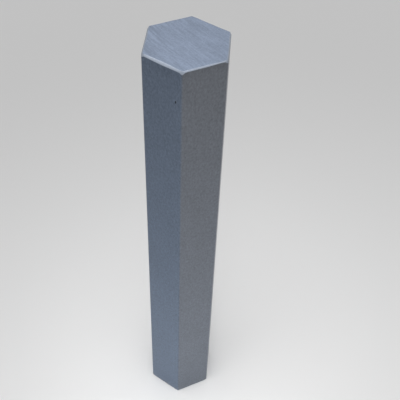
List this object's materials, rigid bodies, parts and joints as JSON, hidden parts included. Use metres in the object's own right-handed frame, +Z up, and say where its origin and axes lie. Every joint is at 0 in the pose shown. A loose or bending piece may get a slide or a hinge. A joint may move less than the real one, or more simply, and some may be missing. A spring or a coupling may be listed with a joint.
{
  "type": "hexagonal steel bar",
  "caption": "Short length of cold-drawn hexagonal steel bar stock, sawn off square at its ends with the edges broken, standing on end; to be turned, threaded or milled.",
  "frame": {"origin": "centre of the foot end, on the surface the bar stands on", "axes": "+Z up along the bar's axis; two corners of the hexagon point along +X and -X, and two flats face +Y and -Y"},
  "size_m": [0.0412, 0.036, 0.26],
  "materials": {
    "steel": "bright cold-drawn flats with faint draw lines, sawn ends and filed edges"
  },
  "bodies": {
    "root": {"hex_bar": "steel"}
  },
  "joints": []
}
